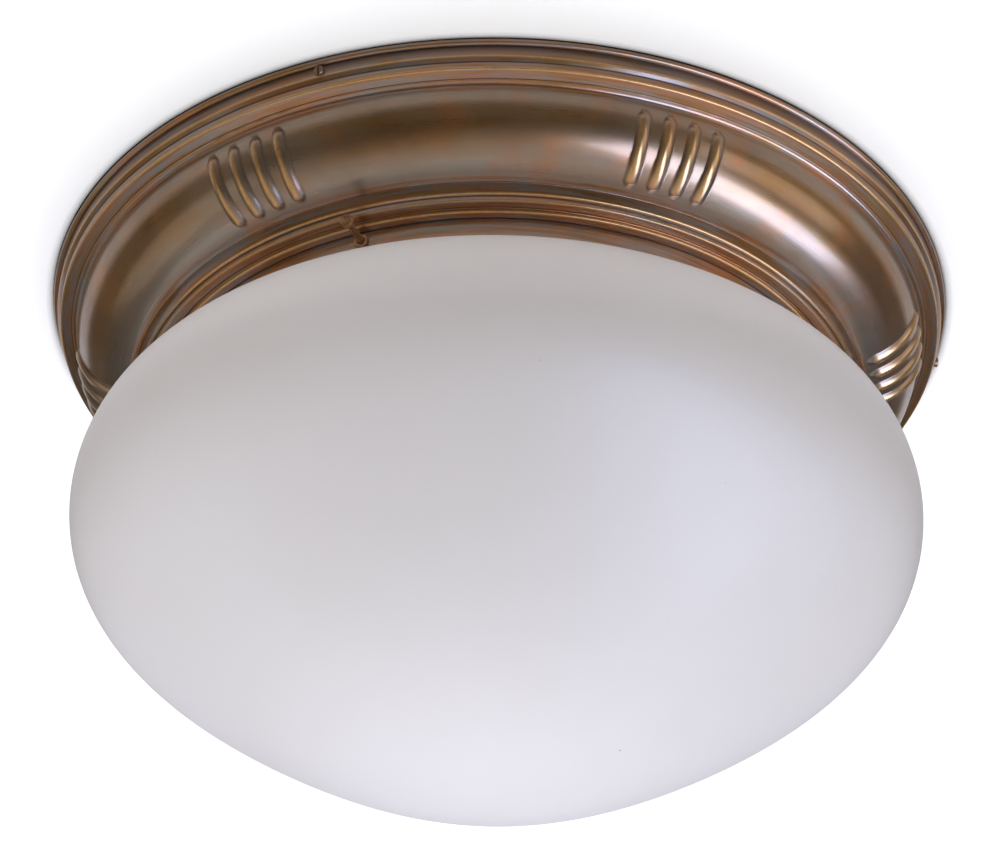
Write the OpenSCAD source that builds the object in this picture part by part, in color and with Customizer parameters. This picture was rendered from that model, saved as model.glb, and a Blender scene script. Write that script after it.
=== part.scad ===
// Flush ceiling light: a pressed canopy screwed to a ceiling plate, with an opal glass bowl
// that three thumb screws hold by its neck, and two lamps lying inside it.
// The ceiling face is at z = 0 and everything hangs below it.

/* [Canopy] */
// Diameter over the rolled rim
canopy_d = 400; // [390:1:420]
// Thickness of the pressed sheet
sheet_t = 1; // [0.8:0.05:1.2]
// Thickness of the rolled rim
rim_roll_d = 3; // [2.6:0.1:4]
// How far the rolled rim stands out from the wall below it
rim_step = 2; // [1.6:0.1:2.4]
// Height of the rim wall, measured from the ceiling
rim_h = 8.9; // [8.6:0.1:11]
// Inward step between the rim wall and the second band
band_step = 1.5; // [1.2:0.1:2]
// Height of the second band
band_h = 3.5; // [3:0.1:5]
// Width of the flat ledge under the second band
ledge_w = 4.6; // [4:0.1:7]
// Radius of the hollow fillet between the ledge and the round
cove_r = 2.2; // [1.8:0.1:3]
// Radius of the convex quarter round
round_r = 30; // [27:0.5:33]
// Angle over which the quarter round turns
round_angle = 80; // [76:1:84]

/* [Pressed ribs] */
// Number of rib groups round the canopy
rib_groups = 6; // [4:1:8]
// Ribs in one group
ribs_per_group = 4; // [2:1:5]
// Angle between the ribs of a group
rib_pitch = 3.55; // [3.2:0.05:4.2]
// Place of the first group, from the front screw
rib_start = 47.25; // [44:0.25:52]
// Width of a rib's round section
rib_d = 6.4; // [5:0.1:7]
// How far a rib stands proud of the round
rib_h = 1.8; // [1.4:0.1:2.2]
// Where a rib begins on the round, in degrees from its top
rib_from = 14; // [12:1:20]
// Where a rib ends on the round
rib_to = 67; // [60:1:70]

/* [Gallery] */
// Height of the upper gallery wall
wall_1_h = 4.6; // [4:0.1:7]
// Height of the middle gallery wall
wall_2_h = 2.2; // [2:0.1:4]
// Width of the flat ledge under the middle wall
ledge_2_w = 4.6; // [4:0.1:6]
// Width and drop of the bead above the lowest wall
bead_w = 3.3; // [2.8:0.1:4]
// Height of the lowest gallery wall, which holds the thumb screws
wall_3_h = 8.6; // [8:0.1:11]

/* [Thumb screws] */
// Number of thumb screws, and of rim screws in line with them
screws = 3; // [3:1:4]
// Shank diameter
thumb_d = 3; // [2.5:0.1:4]
// Head diameter
thumb_head_d = 6.2; // [5.6:0.1:9]
// Head thickness
thumb_head_t = 2.4; // [2:0.1:4]
// How far the head's outer face stands out from the gallery wall
thumb_out = 16.8; // [15:0.1:20]
// Diameter of the threaded rivet bush's collar
bush_d = 6.4; // [6.2:0.1:7]
// Thickness of that collar
bush_t = 1.3; // [1:0.1:2]

/* [Glass bowl] */
// Thickness of the glass
glass_t = 3.5; // [3:0.1:5]
// How far the lip overhangs the neck
lip_w = 2.4; // [2:0.1:2.6]
// Height of the lip
lip_h = 5; // [4:0.1:6]
// Free room round the lip inside the gallery
lip_gap = 3.4; // [2.8:0.1:4]
// Length of the neck, from the top of the lip to the shoulder
neck_h = 35.3; // [33:0.1:40]
// Height of the lip's top below the ceiling
lip_z = 42; // [40:0.5:44]
// Radius of the fillet between the neck and the shoulder
neck_fillet = 7.3; // [5:0.1:8]
// How far the bowl is wider than its neck, each side
bowl_out = 43.7; // [38:0.1:50]
// Drop from the shoulder to the widest line of the bowl
shoulder_h = 38.2; // [34:0.1:44]
// Drop from the widest line to the lowest point
belly_h = 124; // [110:0.5:130]
// How steeply the bowl leaves its widest line
belly_pull = 46.4; // [40:0.1:55]
// How flat the bowl is at its lowest point
base_pull = 96; // [80:1:110]
// Where its flank is drawn in, as a share of its radius
flank_out = 0.71; // [0.66:0.01:0.76]
// Where its flank is drawn in, as a share of the drop
flank_drop = 0.43; // [0.38:0.01:0.5]

/* [Ceiling plate] */
// Thickness of the plate
plate_t = 1.5; // [1.2:0.1:2]
// Depth of its turned-down rim
plate_rim_h = 7.6; // [7.4:0.1:8]
// Free room between that rim and the canopy
plate_gap = 0.3; // [0.2:0.05:0.5]
// Pitch circle of the ceiling fixing holes
fix_pcd = 280; // [250:1:300]
// Number of fixing holes
fix_holes = 4; // [3:1:4]
// Diameter of a fixing hole
fix_d = 5.5; // [4.5:0.1:6.5]
// Diameter of the cable entry hole in the plate
entry_d = 20; // [18:0.5:24]
// Bore of the cable bush in that hole
cable_d = 11; // [9:0.5:12]
// Diameter of the rim screws
rim_screw_d = 2.5; // [2:0.1:3]
// Head diameter of the rim screws
rim_head_d = 4.3; // [4:0.1:5]
// Head height of the rim screws
rim_head_t = 2; // [1.6:0.1:2.4]

/* [Lamps] */
// Height of the lamps' axis below the ceiling
lamp_z = 70; // [68:0.5:74]
// Distance of each lamp's axis from the middle
lamp_off = 38; // [36:0.5:44]
// Distance of a bracket from the middle, along its lamp
bracket_x = 60; // [56:0.5:66]
// Diameter of a bulb
bulb_d = 60; // [55:0.5:62]
// Length of a bulb from its contact to its top
bulb_l = 105; // [100:0.5:112]
// Diameter of the screw cap
cap_d = 26.4; // [25:0.1:27]
// Outer diameter of the porcelain lampholder
holder_d = 38; // [36:0.5:42]
// Length of the lampholder
holder_l = 42; // [40:0.5:46]
// Thickness of the bracket strip
bracket_t = 1.5; // [1.2:0.1:2]
// Width of the bracket strip
bracket_w = 30; // [26:0.5:34]
// Diameter of the insulated inner wires
wire_d = 2.4; // [2:0.1:2.8]

/* [Hidden] */
$fn = 96;

// Clearances
fit_gap = 0.05;
run_gap = 0.05;
seat_gap = 0.3;
eps = 0.01;

// Canopy levels: radii and heights of each edge, from the rolled rim inward
wall_r = canopy_d / 2 - rim_step;
band_r = wall_r - band_step;
band_z = rim_h + band_step;
ledge_r = band_r - 1.2;
ledge_z = band_z + band_h;
crease_r = ledge_r - ledge_w;
crease_z = ledge_z + 1.5;
round_cr = crease_r - cove_r - round_r;
round_cz = crease_z + cove_r;
round_end_r = round_cr + round_r * cos(round_angle);
round_end_z = round_cz + round_r * sin(round_angle);
gallery_1_r = round_end_r - 1.9;
gallery_1_z = round_end_z + 0.6;
edge_1_r = gallery_1_r - 1.6;
edge_1_z = gallery_1_z + wall_1_h;
gallery_2_r = edge_1_r - 1.2;
gallery_2_z = edge_1_z + 0.8;
edge_2_z = gallery_2_z + wall_2_h;
bead_r = gallery_2_r - 0.7 - ledge_2_w;
bead_z = edge_2_z + 0.8;
gallery_r = bead_r - bead_w;
gallery_z = bead_z + bead_w * 0.7;
gallery_end = gallery_z + wall_3_h;
thumb_z = gallery_z + wall_3_h * 0.53;

// Glass levels
neck_r = gallery_r - sheet_t - lip_gap - lip_w;
shoulder_z = lip_z + neck_h;
bowl_r = neck_r + bowl_out;
wide_z = shoulder_z + shoulder_h;
bowl_z = wide_z + belly_h;
thumb_tip = neck_r + seat_gap;
thumb_end = gallery_r + thumb_out;

// Ceiling plate levels
plate_r = wall_r - sheet_t - plate_gap;
rim_screw_z = (rim_roll_d + rim_h) / 2;

// Lamp levels, along a lamp's own axis from its bracket
leg_h = lamp_z - plate_t;
base_d = holder_d + 6;
base_l = 8;
pocket_d = 30;
pocket_l = 7;
floor_l = 11;
screw_off = 18;
leg_end = 24;
holder_screw_d = 3;
holder_screw_l = 5.5;
holder_head_d = 5.6;
holder_head_t = 2;
hole_gap = 0.4;
wire_hole_d = 22;
eyelet_d = 12;
live_hole_d = 8;
tongue_t = 0.5;
tongue_w = 4;
socket_d = cap_d + 1.2;
shell_t = 0.5;
contact_x = floor_l + 4;
neck_x = holder_l + 3;
bulb_cx = contact_x + bulb_l - bulb_d / 2;
bulb_neck_r = 14.5;
bulb_wall = 0.8;
bulb_straight = 4.75;
skirt_l = 5;
terminal_y = 8.5;
post_d = 5.5;
stem_d = 2.4;

// Terminal block
block_w = 34;
block_l = 18;
block_h = 14;
block_y = 40;
pole_pitch = 10.5;
insert_d = 5;
insert_z = 5;
insert_end = 1;
pole_screw_y = 4.5;
pole_screw_d = 2.6;
pole_screw_h = 3;
pole_screw_z = insert_z - plate_t - block_h - pole_screw_h - 1.4;
pole_access_d = 4.2;
wire_bend = 3;
run_near = 8;
run_far = 12;
drop_near = 9;
drop_far = 14;

// Bracket feet and earth screw on the plate
foot_l = 22;
foot_y = 8;
foot_x = bracket_x + bracket_t + foot_l / 2;
foot_screw_d = 4;
foot_head_d = 7.5;
foot_head_t = 2.6;
block_screw_d = 2.8;
block_head_d = 5;
block_head_t = 2;
block_seat = 3;
earth_x = 34;
earth_d = 4;
earth_head_d = 7.5;
earth_head_t = 2.6;
washer_t = 0.8;

// Points along an arc round c
function arc(c, r, a0, a1, n) = [for (i = [0 : n]) let (a = a0 + (a1 - a0) * i / n) c + r * [cos(a), sin(a)]];
function unit(v) = v / norm(v);
function side(a, b) = let (d = unit(b - a)) [d.y, -d.x];
// An outline moved inward by t, towards the ceiling and the axis
function inset(p, t) = [for (i = [0 : len(p) - 1])
    let (n0 = side(p[max(i - 1, 0)], p[max(i, 1)]))
    let (n1 = side(p[min(i, len(p) - 2)], p[min(i + 1, len(p) - 1)]))
    p[i] + t * (n0 + n1) / (1 + n0 * n1)];
function reversed(p) = [for (i = [len(p) - 1 : -1 : 0]) p[i]];
// The point at t from 0 to 1 on the smooth curve that the points p pull on
function pulled(p, t) = len(p) == 1 ? p[0]
    : pulled([for (i = [0 : len(p) - 2]) p[i] * (1 - t) + p[i + 1] * t], t);

// The sheet's outline above the round, and below it
rim_line = concat(
    [[wall_r, -rim_roll_d / 2]],
    arc([wall_r - 1, -rim_h + 1], 1, 0, -60, 3),
    [[band_r, -band_z], [band_r - 0.2, -ledge_z + 1.3]],
    arc([ledge_r - 0.2, -ledge_z + 1], 1, 0, -70, 3),
    [[crease_r, -crease_z]],
    arc([crease_r, -round_cz], cove_r, 90, 180, 4));
gallery_line = concat(
    [[round_end_r, -round_end_z], [gallery_1_r, -gallery_1_z]],
    arc([edge_1_r - 1, -edge_1_z + 1], 1, 10, -70, 3),
    [[gallery_2_r, -gallery_2_z]],
    arc([gallery_2_r - 1.2, -edge_2_z + 1.2], 1.2, 0, -80, 3),
    [[bead_r + 0.9, -bead_z + 0.5]],
    arc([bead_r - 1.1, -bead_z - 0.6], 1.6, 45, -50, 4),
    [[gallery_r, -gallery_z], [gallery_r, -gallery_end]]);

// Places n copies round the axis, the first at the front
module around(n, from = 0) {
    for (i = [0 : n - 1]) rotate([0, 0, from + i * 360 / n]) children();
}

// A cylinder that runs outward at the front, from radius r0 to r1
module spoke(r0, r1, z, d) {
    translate([0, -r0, -z]) rotate([90, 0, 0]) cylinder(d = d, h = r1 - r0);
}

// The whole canopy's form as a filled outline, at depth t below its outer face
module canopy_form(t) {
    rim_edge = inset(rim_line, t);
    gallery_edge = inset(gallery_line, t);
    rotate_extrude() {
        polygon(concat([[0, t > 0 ? 5 : 0], [rim_edge[0].x, t > 0 ? 5 : 0]], rim_edge, gallery_edge,
            [[gallery_edge[len(gallery_edge) - 1].x, -gallery_end - 5 * t], [0, -gallery_end - 5 * t]]));
        translate([round_cr, -round_cz]) intersection() {
            circle(r = round_r - t);
            polygon([[0, 0], [2 * round_r, 0], [2 * round_r, -2 * round_r],
                2 * round_r * [cos(round_angle), -sin(round_angle)]]);
        }
    }
}

// A round bar that follows the quarter round, with ball ends
module rib_bar() {
    path_r = round_r + rib_h - rib_d / 2;
    translate([round_cr, 0, -round_cz]) rotate([90, 0, 0]) {
        rotate([0, 0, -rib_to]) rotate_extrude(angle = rib_to - rib_from)
            translate([path_r, 0]) circle(d = rib_d);
        for (a = [rib_from, rib_to]) rotate([0, 0, -a]) translate([path_r, 0, 0]) sphere(d = rib_d + 0.1);
    }
}

module all_ribs() {
    for (g = [0 : rib_groups - 1], i = [0 : ribs_per_group - 1])
        rotate([0, 0, rib_start - 90 + g * 360 / rib_groups + (i - (ribs_per_group - 1) / 2) * rib_pitch])
            rib_bar();
}

module canopy() {
    color("#73563e") difference() {
        union() {
            canopy_form(0);
            rotate_extrude()
                translate([wall_r + rim_step - rim_roll_d / 2, -rim_roll_d / 2]) circle(d = rim_roll_d);
            all_ribs();
        }
        canopy_form(sheet_t);
        around(screws) spoke(wall_r - 3 * sheet_t, wall_r + sheet_t, rim_screw_z, rim_screw_d + 0.5);
        around(screws) spoke(gallery_r - 3 * sheet_t, gallery_r + sheet_t, thumb_z, thumb_d + 2.2);
    }
}

belly_points = [
    [bowl_r, -wide_z],
    [bowl_r, -wide_z - belly_pull],
    [bowl_r * flank_out, -wide_z - belly_h * flank_drop],
    [base_pull, -bowl_z],
    [0, -bowl_z]];
bowl_line = concat(
    [[neck_r, -lip_z - lip_h]],
    arc([neck_r + neck_fillet, -shoulder_z + neck_fillet], neck_fillet, 180, 270, 5),
    [for (a = [90 : -7.5 : 0]) [neck_r + 10 + (bowl_out - 10) * cos(a), -wide_z + shoulder_h * sin(a)]],
    [for (i = [1 : 22]) pulled(belly_points, i / 22)]);

module glass_bowl() {
    inner = inset(bowl_line, glass_t);
    last = len(inner) - 1;
    color("#ebe8e4") rotate_extrude() polygon(concat(
        [[neck_r, -lip_z - lip_h], [neck_r + lip_w - 0.6, -lip_z - lip_h],
            [neck_r + lip_w, -lip_z - lip_h + 0.8], [neck_r + lip_w, -lip_z - 1.2],
            [neck_r + lip_w - 1.2, -lip_z], [neck_r - glass_t, -lip_z]],
        [for (i = [0 : last - 1]) inner[i]],
        [[0, inner[last].y]],
        reversed(bowl_line)));
}

// Threaded bush riveted into the gallery wall: collar outside, sleeve, and clinched edge inside
module gallery_bushes() {
    wall_in = gallery_r - sheet_t;
    color("#8a6a45") around(screws) difference() {
        union() {
            spoke(gallery_r + fit_gap, gallery_r + bush_t, thumb_z, bush_d);
            spoke(wall_in - 0.7, gallery_r + 0.5, thumb_z, thumb_d + 2);
            spoke(wall_in - 0.7, wall_in - 0.1, thumb_z, thumb_d + 3);
        }
        spoke(wall_in - 2, gallery_r + 2 * bush_t, thumb_z, thumb_d + 2 * run_gap);
    }
}

module thumb_screw(i) {
    color("#6b5138") rotate([0, 0, i * 360 / screws]) {
        spoke(thumb_tip, thumb_end - thumb_head_t + eps, thumb_z, thumb_d);
        translate([0, -thumb_end + thumb_head_t, -thumb_z]) rotate([90, 0, 0]) rotate_extrude()
            polygon([[0, 0], [thumb_head_d / 2 - 0.3, 0], [thumb_head_d / 2, 0.3],
                [thumb_head_d / 2, thumb_head_t - 0.4], [thumb_head_d / 2 - 0.4, thumb_head_t],
                [0, thumb_head_t]]);
    }
}
module thumb_screw_1() { thumb_screw(0); }
module thumb_screw_2() { thumb_screw(1); }
module thumb_screw_3() { thumb_screw(2); }

// Slotted screws through the rim wall into the ceiling plate's turned-down rim
module rim_screws() {
    color("#8c7253") around(screws) difference() {
        union() {
            spoke(plate_r - plate_t - 2, wall_r + fit_gap + eps, rim_screw_z, rim_screw_d);
            spoke(wall_r + fit_gap, wall_r + rim_head_t, rim_screw_z, rim_head_d);
        }
        translate([-0.3, -wall_r - rim_head_t - 1, -rim_screw_z - rim_head_d])
            cube([0.6, 2, 2 * rim_head_d]);
    }
}

// Steel disc against the ceiling, with a turned-down rim that the canopy slides over
module ceiling_plate() {
    color("#9a9c9e") difference() {
        union() {
            translate([0, 0, -plate_t]) cylinder(r = plate_r, h = plate_t);
            translate([0, 0, -plate_rim_h]) cylinder(r = plate_r, h = plate_rim_h);
        }
        translate([0, 0, -plate_rim_h - 1]) cylinder(r = plate_r - plate_t, h = plate_rim_h + 1 - plate_t);
        translate([0, 0, -10]) cylinder(d = entry_d, h = 20);
        around(fix_holes, 45) translate([0, -fix_pcd / 2, -10]) cylinder(d = fix_d, h = 20);
        around(screws) spoke(plate_r - 2 * plate_t, plate_r + 1, rim_screw_z, rim_screw_d + 2 * run_gap);
        for (s = [0, 180]) rotate([0, 0, s]) for (y = [-1, 1])
            translate([-foot_x, -lamp_off + y * foot_y, -10])
                cylinder(d = foot_screw_d + 2 * fit_gap, h = 20);
        translate([pole_pitch / 2, block_y, -10]) cylinder(d = block_screw_d + 2 * fit_gap, h = 20);
        translate([earth_x, block_y, -10]) cylinder(d = earth_d + 2 * fit_gap, h = 20);
    }
}
// Rubber bush with a groove that grips the plate
module cable_bush() {
    color("#2b2b2b") translate([0, 0, -plate_t]) difference() {
        union() {
            translate([0, 0, -5]) cylinder(d = entry_d + 5, h = 5 - fit_gap);
            translate([0, 0, -1]) cylinder(d = entry_d - 2 * fit_gap, h = 1 + plate_t);
        }
        translate([0, 0, -10]) cylinder(d = cable_d, h = 20);
    }
}

// Puts one lamp's own axis, which runs along +X from its bracket, in its place
module lamp_place(i) {
    rotate([0, 0, 180 * i]) translate([-bracket_x, -lamp_off, -lamp_z]) children();
}
module along_x(x0, x1, d) {
    translate([x0, 0, 0]) rotate([0, 90, 0]) cylinder(d = d, h = x1 - x0);
}

// Bent strip: a leg behind the lampholder and a foot under the plate
module bracket(i) {
    bend = 2 * bracket_t;
    corner = [-bend, leg_h - bend];
    outline = concat([[-bracket_t, -leg_end], [0, -leg_end]], arc(corner, bend, 0, 90, 6),
        [[-bracket_t - foot_l, leg_h], [-bracket_t - foot_l, leg_h - bracket_t]],
        arc(corner, bend - bracket_t, 90, 0, 6));
    color("#a8aaac") lamp_place(i) difference() {
        translate([0, bracket_w / 2, 0]) rotate([90, 0, 0]) linear_extrude(bracket_w) polygon(outline);
        along_x(-5, 5, wire_hole_d);
        for (s = [-1, 1]) translate([0, 0, s * screw_off]) along_x(-5, 5, holder_screw_d + hole_gap);
        for (y = [-1, 1]) translate([-bracket_t - foot_l / 2, y * foot_y, leg_h - 5])
            cylinder(d = foot_screw_d + hole_gap, h = 10);
    }
}
module bracket_1() { bracket(0); }
module bracket_2() { bracket(1); }

// Pan head screw pointing up, its head's seat at z = 0
module pan_screw(d, head_d, head_t, l) {
    difference() {
        union() {
            cylinder(d = d, h = l);
            translate([0, 0, -head_t]) cylinder(d = head_d, h = head_t);
        }
        translate([-head_d, -0.4, -head_t - 1]) cube([2 * head_d, 0.8, 1 + head_t / 2]);
    }
}

module bracket_screws() {
    color("#b9bbbd") for (i = [0, 1], y = [-1, 1]) lamp_place(i)
        translate([-bracket_t - foot_l / 2, y * foot_y, leg_h - bracket_t])
            pan_screw(foot_screw_d, foot_head_d, foot_head_t, bracket_t + plate_t);
}

// Porcelain lampholder: base with a wiring pocket behind, a floor, and the open socket
module lampholder(i) {
    color("#f1efe9") lamp_place(i) difference() {
        rotate([0, 90, 0]) rotate_extrude() polygon([[0, 0], [base_d / 2, 0], [base_d / 2, base_l - 1.5],
            [base_d / 2 - 1.5, base_l], [holder_d / 2, base_l + 1.5], [holder_d / 2, holder_l - 1],
            [holder_d / 2 - 1, holder_l], [0, holder_l]]);
        along_x(-1, pocket_l, pocket_d);
        along_x(floor_l, holder_l + 1, socket_d);
        for (s = [-1, 1]) {
            translate([0, 0, s * screw_off]) along_x(-1, holder_screw_l + 1, holder_screw_d + 2 * fit_gap);
            translate([0, s * terminal_y, 0]) along_x(pocket_l - 1, floor_l + 1, stem_d + 2 * fit_gap);
        }
    }
}
module lampholder_1() { lampholder(0); }
module lampholder_2() { lampholder(1); }

module holder_screws() {
    color("#b9bbbd") for (i = [0, 1], s = [-1, 1]) lamp_place(i)
        translate([-bracket_t, 0, s * screw_off]) rotate([0, 90, 0])
            pan_screw(holder_screw_d, holder_head_d, holder_head_t, bracket_t + holder_screw_l);
}

// Brass thread shell with its flange on the socket's floor
module thread_shell(i) {
    color("#c9a14a") lamp_place(i) difference() {
        along_x(floor_l, holder_l - 2, cap_d + 0.2 + 2 * shell_t);
        along_x(floor_l + 0.6, holder_l, cap_d + 0.2);
        along_x(floor_l - 1, floor_l + 2, eyelet_d);
        translate([0, -terminal_y, 0]) along_x(floor_l - 1, floor_l + 2, live_hole_d);
    }
}
module thread_shell_1() { thread_shell(0); }
module thread_shell_2() { thread_shell(1); }

// Springy brass tongue under the bulb's contact
module centre_contact(i) {
    tongue_x = contact_x - seat_gap;
    color("#d0ac5c") lamp_place(i) {
        translate([floor_l, -terminal_y - 2.5, -tongue_w / 2]) cube([tongue_t, 7, tongue_w]);
        translate([floor_l, -terminal_y + 4, -tongue_w / 2]) cube([tongue_x - floor_l, tongue_t, tongue_w]);
        translate([tongue_x - tongue_t, -terminal_y + 4, -tongue_w / 2]) cube([tongue_t, 8, tongue_w]);
    }
}
module centre_contact_1() { centre_contact(0); }
module centre_contact_2() { centre_contact(1); }

// Brass posts riveted through the porcelain floor, which carry each wire's end
module holder_terminals() {
    color("#c9a14a") for (i = [0, 1], s = [-1, 1]) lamp_place(i) translate([0, s * terminal_y, 0]) {
        along_x(pocket_l, floor_l, stem_d);
        along_x(pocket_l - 3, pocket_l, post_d);
    }
}

// Envelope of a bulb: a sphere that runs into its neck through a hollow arc
module bulb_glass(i) {
    big = bulb_d / 2;
    blend_x = neck_x + bulb_straight;
    blend_r = ((bulb_cx - blend_x) ^ 2 + bulb_neck_r ^ 2 - big ^ 2) / (2 * (big - bulb_neck_r));
    meet = atan2(bulb_neck_r + blend_r, bulb_cx - blend_x);
    line = concat(
        arc([0, bulb_cx], big, 90, meet - 90, 16),
        [for (k = [1 : 6]) arc([bulb_neck_r + blend_r, blend_x], blend_r, 90 + meet, 180, 6)[k]],
        [[bulb_neck_r, neck_x]]);
    inner = inset(line, bulb_wall);
    color("#f6f6f2") lamp_place(i) rotate([0, 90, 0]) rotate_extrude() polygon(concat(
        line, reversed([for (k = [1 : len(inner) - 1]) inner[k]]), [[0, inner[0].y]]));
}
module bulb_glass_1() { bulb_glass(0); }
module bulb_glass_2() { bulb_glass(1); }

// Drawn metal cap with its flared skirt
module bulb_cap(i) {
    x0 = contact_x + 4;
    cap_r = cap_d / 2;
    skirt_r = bulb_neck_r + 1.6;
    color("#c7c8ca") lamp_place(i) rotate([0, 90, 0]) rotate_extrude() polygon([
        [cap_r - 1, x0], [cap_r, x0 + 1], [cap_r, holder_l + seat_gap], [skirt_r, holder_l + 2.3],
        [skirt_r, neck_x + skirt_l], [bulb_neck_r + fit_gap, neck_x + skirt_l],
        [bulb_neck_r + fit_gap, neck_x - seat_gap],
        [cap_r - 0.6, neck_x - 2.6], [cap_r - 0.6, x0 + 1.2], [cap_r - 1.6, x0]]);
}
module bulb_cap_1() { bulb_cap(0); }
module bulb_cap_2() { bulb_cap(1); }

module bulb_insulator(i) {
    x0 = contact_x + 1;
    color("#23252b") lamp_place(i) rotate([0, 90, 0]) rotate_extrude() polygon([
        [0, x0], [5.4, x0], [cap_d / 2 - 1.65, x0 + 3], [cap_d / 2 - 1.65, x0 + 4.4], [0, x0 + 4.4]]);
}
module bulb_insulator_1() { bulb_insulator(0); }
module bulb_insulator_2() { bulb_insulator(1); }

module bulb_contact(i) {
    color("#b8b9ba") lamp_place(i) rotate([0, 90, 0]) rotate_extrude() polygon([
        [0, contact_x], [2.5, contact_x], [4.5, contact_x + 0.6], [4.5, contact_x + 1], [0, contact_x + 1]]);
}
module bulb_contact_1() { bulb_contact(0); }
module bulb_contact_2() { bulb_contact(1); }

// Three-pole block that joins the house cable to the lamps
module terminal_block() {
    color("#efece2") translate([0, block_y, -plate_t]) difference() {
        translate([-block_w / 2, -block_l / 2, -block_h]) cube([block_w, block_l, block_h - fit_gap]);
        for (p = [-1 : 1]) translate([p * pole_pitch, 0, 0]) {
            translate([0, block_l / 2 + 1, -block_h + insert_z]) rotate([90, 0, 0])
                cylinder(d = insert_d + 2 * fit_gap, h = block_l + 2);
            for (s = [-1, 1]) translate([0, s * pole_screw_y, -block_h - 1])
                cylinder(d = pole_access_d, h = insert_z + 1);
        }
        translate([pole_pitch / 2, 0, -block_h - 1]) cylinder(d = block_screw_d + hole_gap, h = block_h + 2);
        translate([pole_pitch / 2, 0, -block_h - 1])
            cylinder(d = block_head_d + hole_gap, h = block_seat + 1);
    }
}

module terminal_inserts() {
    color("#c9a14a") for (p = [-1 : 1])
        translate([p * pole_pitch, block_y, -plate_t - block_h + insert_z]) difference() {
        translate([0, block_l / 2 - insert_end, 0]) rotate([90, 0, 0])
            cylinder(d = insert_d, h = block_l - 2 * insert_end);
        translate([0, block_l, 0]) rotate([90, 0, 0]) cylinder(d = wire_d + 0.2, h = 2 * block_l);
        for (s = [-1, 1]) translate([0, s * pole_screw_y, -insert_d])
            cylinder(d = pole_screw_d + 2 * run_gap, h = insert_d);
    }
}

module terminal_screws() {
    color("#b9bbbd") for (p = [-1 : 1], s = [-1, 1])
        translate([p * pole_pitch, block_y + s * pole_screw_y, pole_screw_z]) difference() {
            cylinder(d = pole_screw_d, h = pole_screw_h);
            translate([-pole_screw_d, -0.3, -1]) cube([2 * pole_screw_d, 0.6, 1.6]);
        }
}

module block_screw() {
    color("#b9bbbd") translate([pole_pitch / 2, block_y, -plate_t - block_h + block_seat])
        pan_screw(block_screw_d, block_head_d, block_head_t, block_h - block_seat + plate_t);
}

module earth_washer() {
    color("#c9a14a") translate([earth_x, block_y, -plate_t - washer_t]) difference() {
        cylinder(d = earth_head_d + 1.5, h = washer_t);
        translate([0, 0, -1]) cylinder(d = earth_d + 0.3, h = 3);
    }
}

module earth_screw() {
    color("#c9a14a") translate([earth_x, block_y, -plate_t - washer_t])
        pan_screw(earth_d, earth_head_d, earth_head_t, washer_t + plate_t);
}

// A round wire along a route of points, with each corner turned on a true bend
module wire(route, bend_r) {
    n = len(route);
    function cut(i) = i <= 0 || i >= n - 1 ? 0
        : bend_r / tan(acos(unit(route[i - 1] - route[i]) * unit(route[i + 1] - route[i])) / 2);
    for (i = [0 : n - 2]) {
        d = unit(route[i + 1] - route[i]);
        a = route[i] + d * cut(i);
        b = route[i + 1] - d * cut(i + 1);
        translate(a) rotate([0, acos(d.z), atan2(d.y, d.x)]) cylinder(d = wire_d, h = norm(b - a));
    }
    for (i = [1 : 1 : n - 2]) {
        u = unit(route[i - 1] - route[i]);
        v = unit(route[i + 1] - route[i]);
        half = acos(u * v) / 2;
        c = route[i] + unit(u + v) * bend_r / sin(half);
        e1 = unit(route[i] + u * cut(i) - c);
        w = cross(e1, -u);
        e2 = cross(w, e1);
        translate(c) multmatrix([[e1.x, e2.x, w.x, 0], [e1.y, e2.y, w.y, 0], [e1.z, e2.z, w.z, 0]])
            rotate_extrude(angle = 180 - 2 * half) translate([bend_r, 0]) circle(d = wire_d);
    }
}

// Route from a pole of the block, along the plate, down behind a bracket and in to its post
module lamp_wire(i, s, pole, out, back) {
    way = i == 0 ? -1 : 1;
    z = -plate_t - block_h + insert_z;
    out_y = block_y + way * (block_l / 2 + out);
    back_x = way * (bracket_x + back);
    post_x = way * (bracket_x - pocket_l + 3);
    post_y = way * (lamp_off - s * terminal_y);
    color(s < 0 ? "#7b4a2b" : "#2f4c7c") wire([
        [pole * pole_pitch, block_y + way, z], [pole * pole_pitch, out_y, z], [back_x, out_y, z],
        [back_x, post_y, z], [back_x, post_y, -lamp_z], [post_x, post_y, -lamp_z]], wire_bend);
}
module wire_live_1() { lamp_wire(0, -1, -1, run_near, drop_far); }
module wire_live_2() { lamp_wire(1, -1, -1, run_far, drop_far); }
module wire_neutral_1() { lamp_wire(0, 1, 0, run_far, drop_near); }
module wire_neutral_2() { lamp_wire(1, 1, 0, run_near, drop_near); }

// From the third pole to the earth screw, ending beside its head
module wire_earth() {
    z = -plate_t - block_h + insert_z;
    out_y = block_y - block_l / 2 - run_near;
    end_z = -plate_t - washer_t - wire_d / 2 - fit_gap;
    color("#7d9a3a") wire([
        [pole_pitch, block_y - 1, z], [pole_pitch, out_y, z], [earth_x, out_y, z],
        [earth_x, out_y, end_z], [earth_x, block_y - earth_head_d / 2 - 0.15, end_z]], wire_bend);
}

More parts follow.
